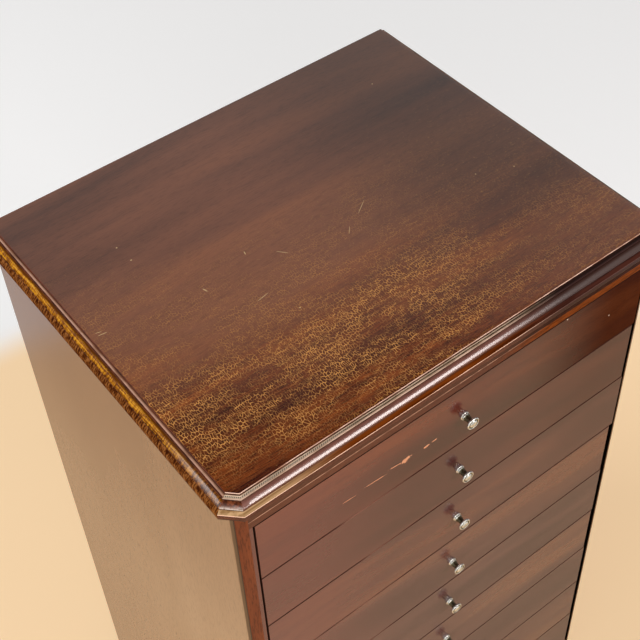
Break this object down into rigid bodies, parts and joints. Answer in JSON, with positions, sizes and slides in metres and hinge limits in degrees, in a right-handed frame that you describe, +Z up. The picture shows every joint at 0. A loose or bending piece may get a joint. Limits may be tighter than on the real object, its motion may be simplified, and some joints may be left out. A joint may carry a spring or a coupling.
{
  "type": "sheet music cabinet",
  "caption": "Narrow upright wooden chest of shallow drawers for sheet music, with a moulded top, canted front corners and small turned metal knobs.",
  "frame": {"origin": "on the floor under the middle of the overall box", "axes": "+Z up, -Y out of the drawer fronts, +X to the right seen from the front"},
  "size_m": [0.52, 0.426, 0.8782],
  "materials": {
    "top_board": "polished mahogany, worn and crazed",
    "case": "polished mahogany",
    "drawer_fronts": "polished mahogany, grain across",
    "drawer_linings": "waxed pale hardwood",
    "secondary_wood": "unpolished softwood",
    "plywood": "unpolished thin board",
    "knobs": "aged nickel-plated turned metal"
  },
  "bodies": {
    "carcass": {"top": "top_board", "left_side": "case", "right_side": "case", "bottom_board": "secondary_wood", "top_rail": "case", "rear_rail": "secondary_wood", "plinth": "case", "back_panel": "plywood", "left_slip": "case", "top_blocks": "secondary_wood", "plinth_blocks": "secondary_wood", "left_runners": "secondary_wood", "right_runners": "secondary_wood"},
    "drawer_1": {"drawer_1_front": "drawer_fronts", "drawer_1_sides": "drawer_linings", "drawer_1_back": "drawer_linings", "drawer_1_bottom": "plywood", "drawer_1_knob": "knobs"},
    "drawer_2": {"drawer_2_front": "drawer_fronts", "drawer_2_sides": "drawer_linings", "drawer_2_back": "drawer_linings", "drawer_2_bottom": "plywood", "drawer_2_knob": "knobs"},
    "drawer_3": {"drawer_3_front": "drawer_fronts", "drawer_3_sides": "drawer_linings", "drawer_3_back": "drawer_linings", "drawer_3_bottom": "plywood", "drawer_3_knob": "knobs"},
    "drawer_4": {"drawer_4_front": "drawer_fronts", "drawer_4_sides": "drawer_linings", "drawer_4_back": "drawer_linings", "drawer_4_bottom": "plywood", "drawer_4_knob": "knobs"},
    "drawer_5": {"drawer_5_front": "drawer_fronts", "drawer_5_sides": "drawer_linings", "drawer_5_back": "drawer_linings", "drawer_5_bottom": "plywood", "drawer_5_knob": "knobs"},
    "drawer_6": {"drawer_6_front": "drawer_fronts", "drawer_6_sides": "drawer_linings", "drawer_6_back": "drawer_linings", "drawer_6_bottom": "plywood", "drawer_6_knob": "knobs"},
    "drawer_7": {"drawer_7_front": "drawer_fronts", "drawer_7_sides": "drawer_linings", "drawer_7_back": "drawer_linings", "drawer_7_bottom": "plywood", "drawer_7_knob": "knobs"},
    "drawer_8": {"drawer_8_front": "drawer_fronts", "drawer_8_sides": "drawer_linings", "drawer_8_back": "drawer_linings", "drawer_8_bottom": "plywood", "drawer_8_knob": "knobs"},
    "drawer_9": {"drawer_9_front": "drawer_fronts", "drawer_9_sides": "drawer_linings", "drawer_9_back": "drawer_linings", "drawer_9_bottom": "plywood", "drawer_9_knob": "knobs"}
  },
  "joints": [
    {"name": "drawer_1_slide", "type": "slide", "parent": "carcass", "child": "drawer_1", "axis": [0, -1, 0], "range_m": [0, 0.3]},
    {"name": "drawer_2_slide", "type": "slide", "parent": "carcass", "child": "drawer_2", "axis": [0, -1, 0], "range_m": [0, 0.3]},
    {"name": "drawer_3_slide", "type": "slide", "parent": "carcass", "child": "drawer_3", "axis": [0, -1, 0], "range_m": [0, 0.3]},
    {"name": "drawer_4_slide", "type": "slide", "parent": "carcass", "child": "drawer_4", "axis": [0, -1, 0], "range_m": [0, 0.3]},
    {"name": "drawer_5_slide", "type": "slide", "parent": "carcass", "child": "drawer_5", "axis": [0, -1, 0], "range_m": [0, 0.3]},
    {"name": "drawer_6_slide", "type": "slide", "parent": "carcass", "child": "drawer_6", "axis": [0, -1, 0], "range_m": [0, 0.3]},
    {"name": "drawer_7_slide", "type": "slide", "parent": "carcass", "child": "drawer_7", "axis": [0, -1, 0], "range_m": [0, 0.3]},
    {"name": "drawer_8_slide", "type": "slide", "parent": "carcass", "child": "drawer_8", "axis": [0, -1, 0], "range_m": [0, 0.3]},
    {"name": "drawer_9_slide", "type": "slide", "parent": "carcass", "child": "drawer_9", "axis": [0, -1, 0], "range_m": [0, 0.3]}
  ]
}
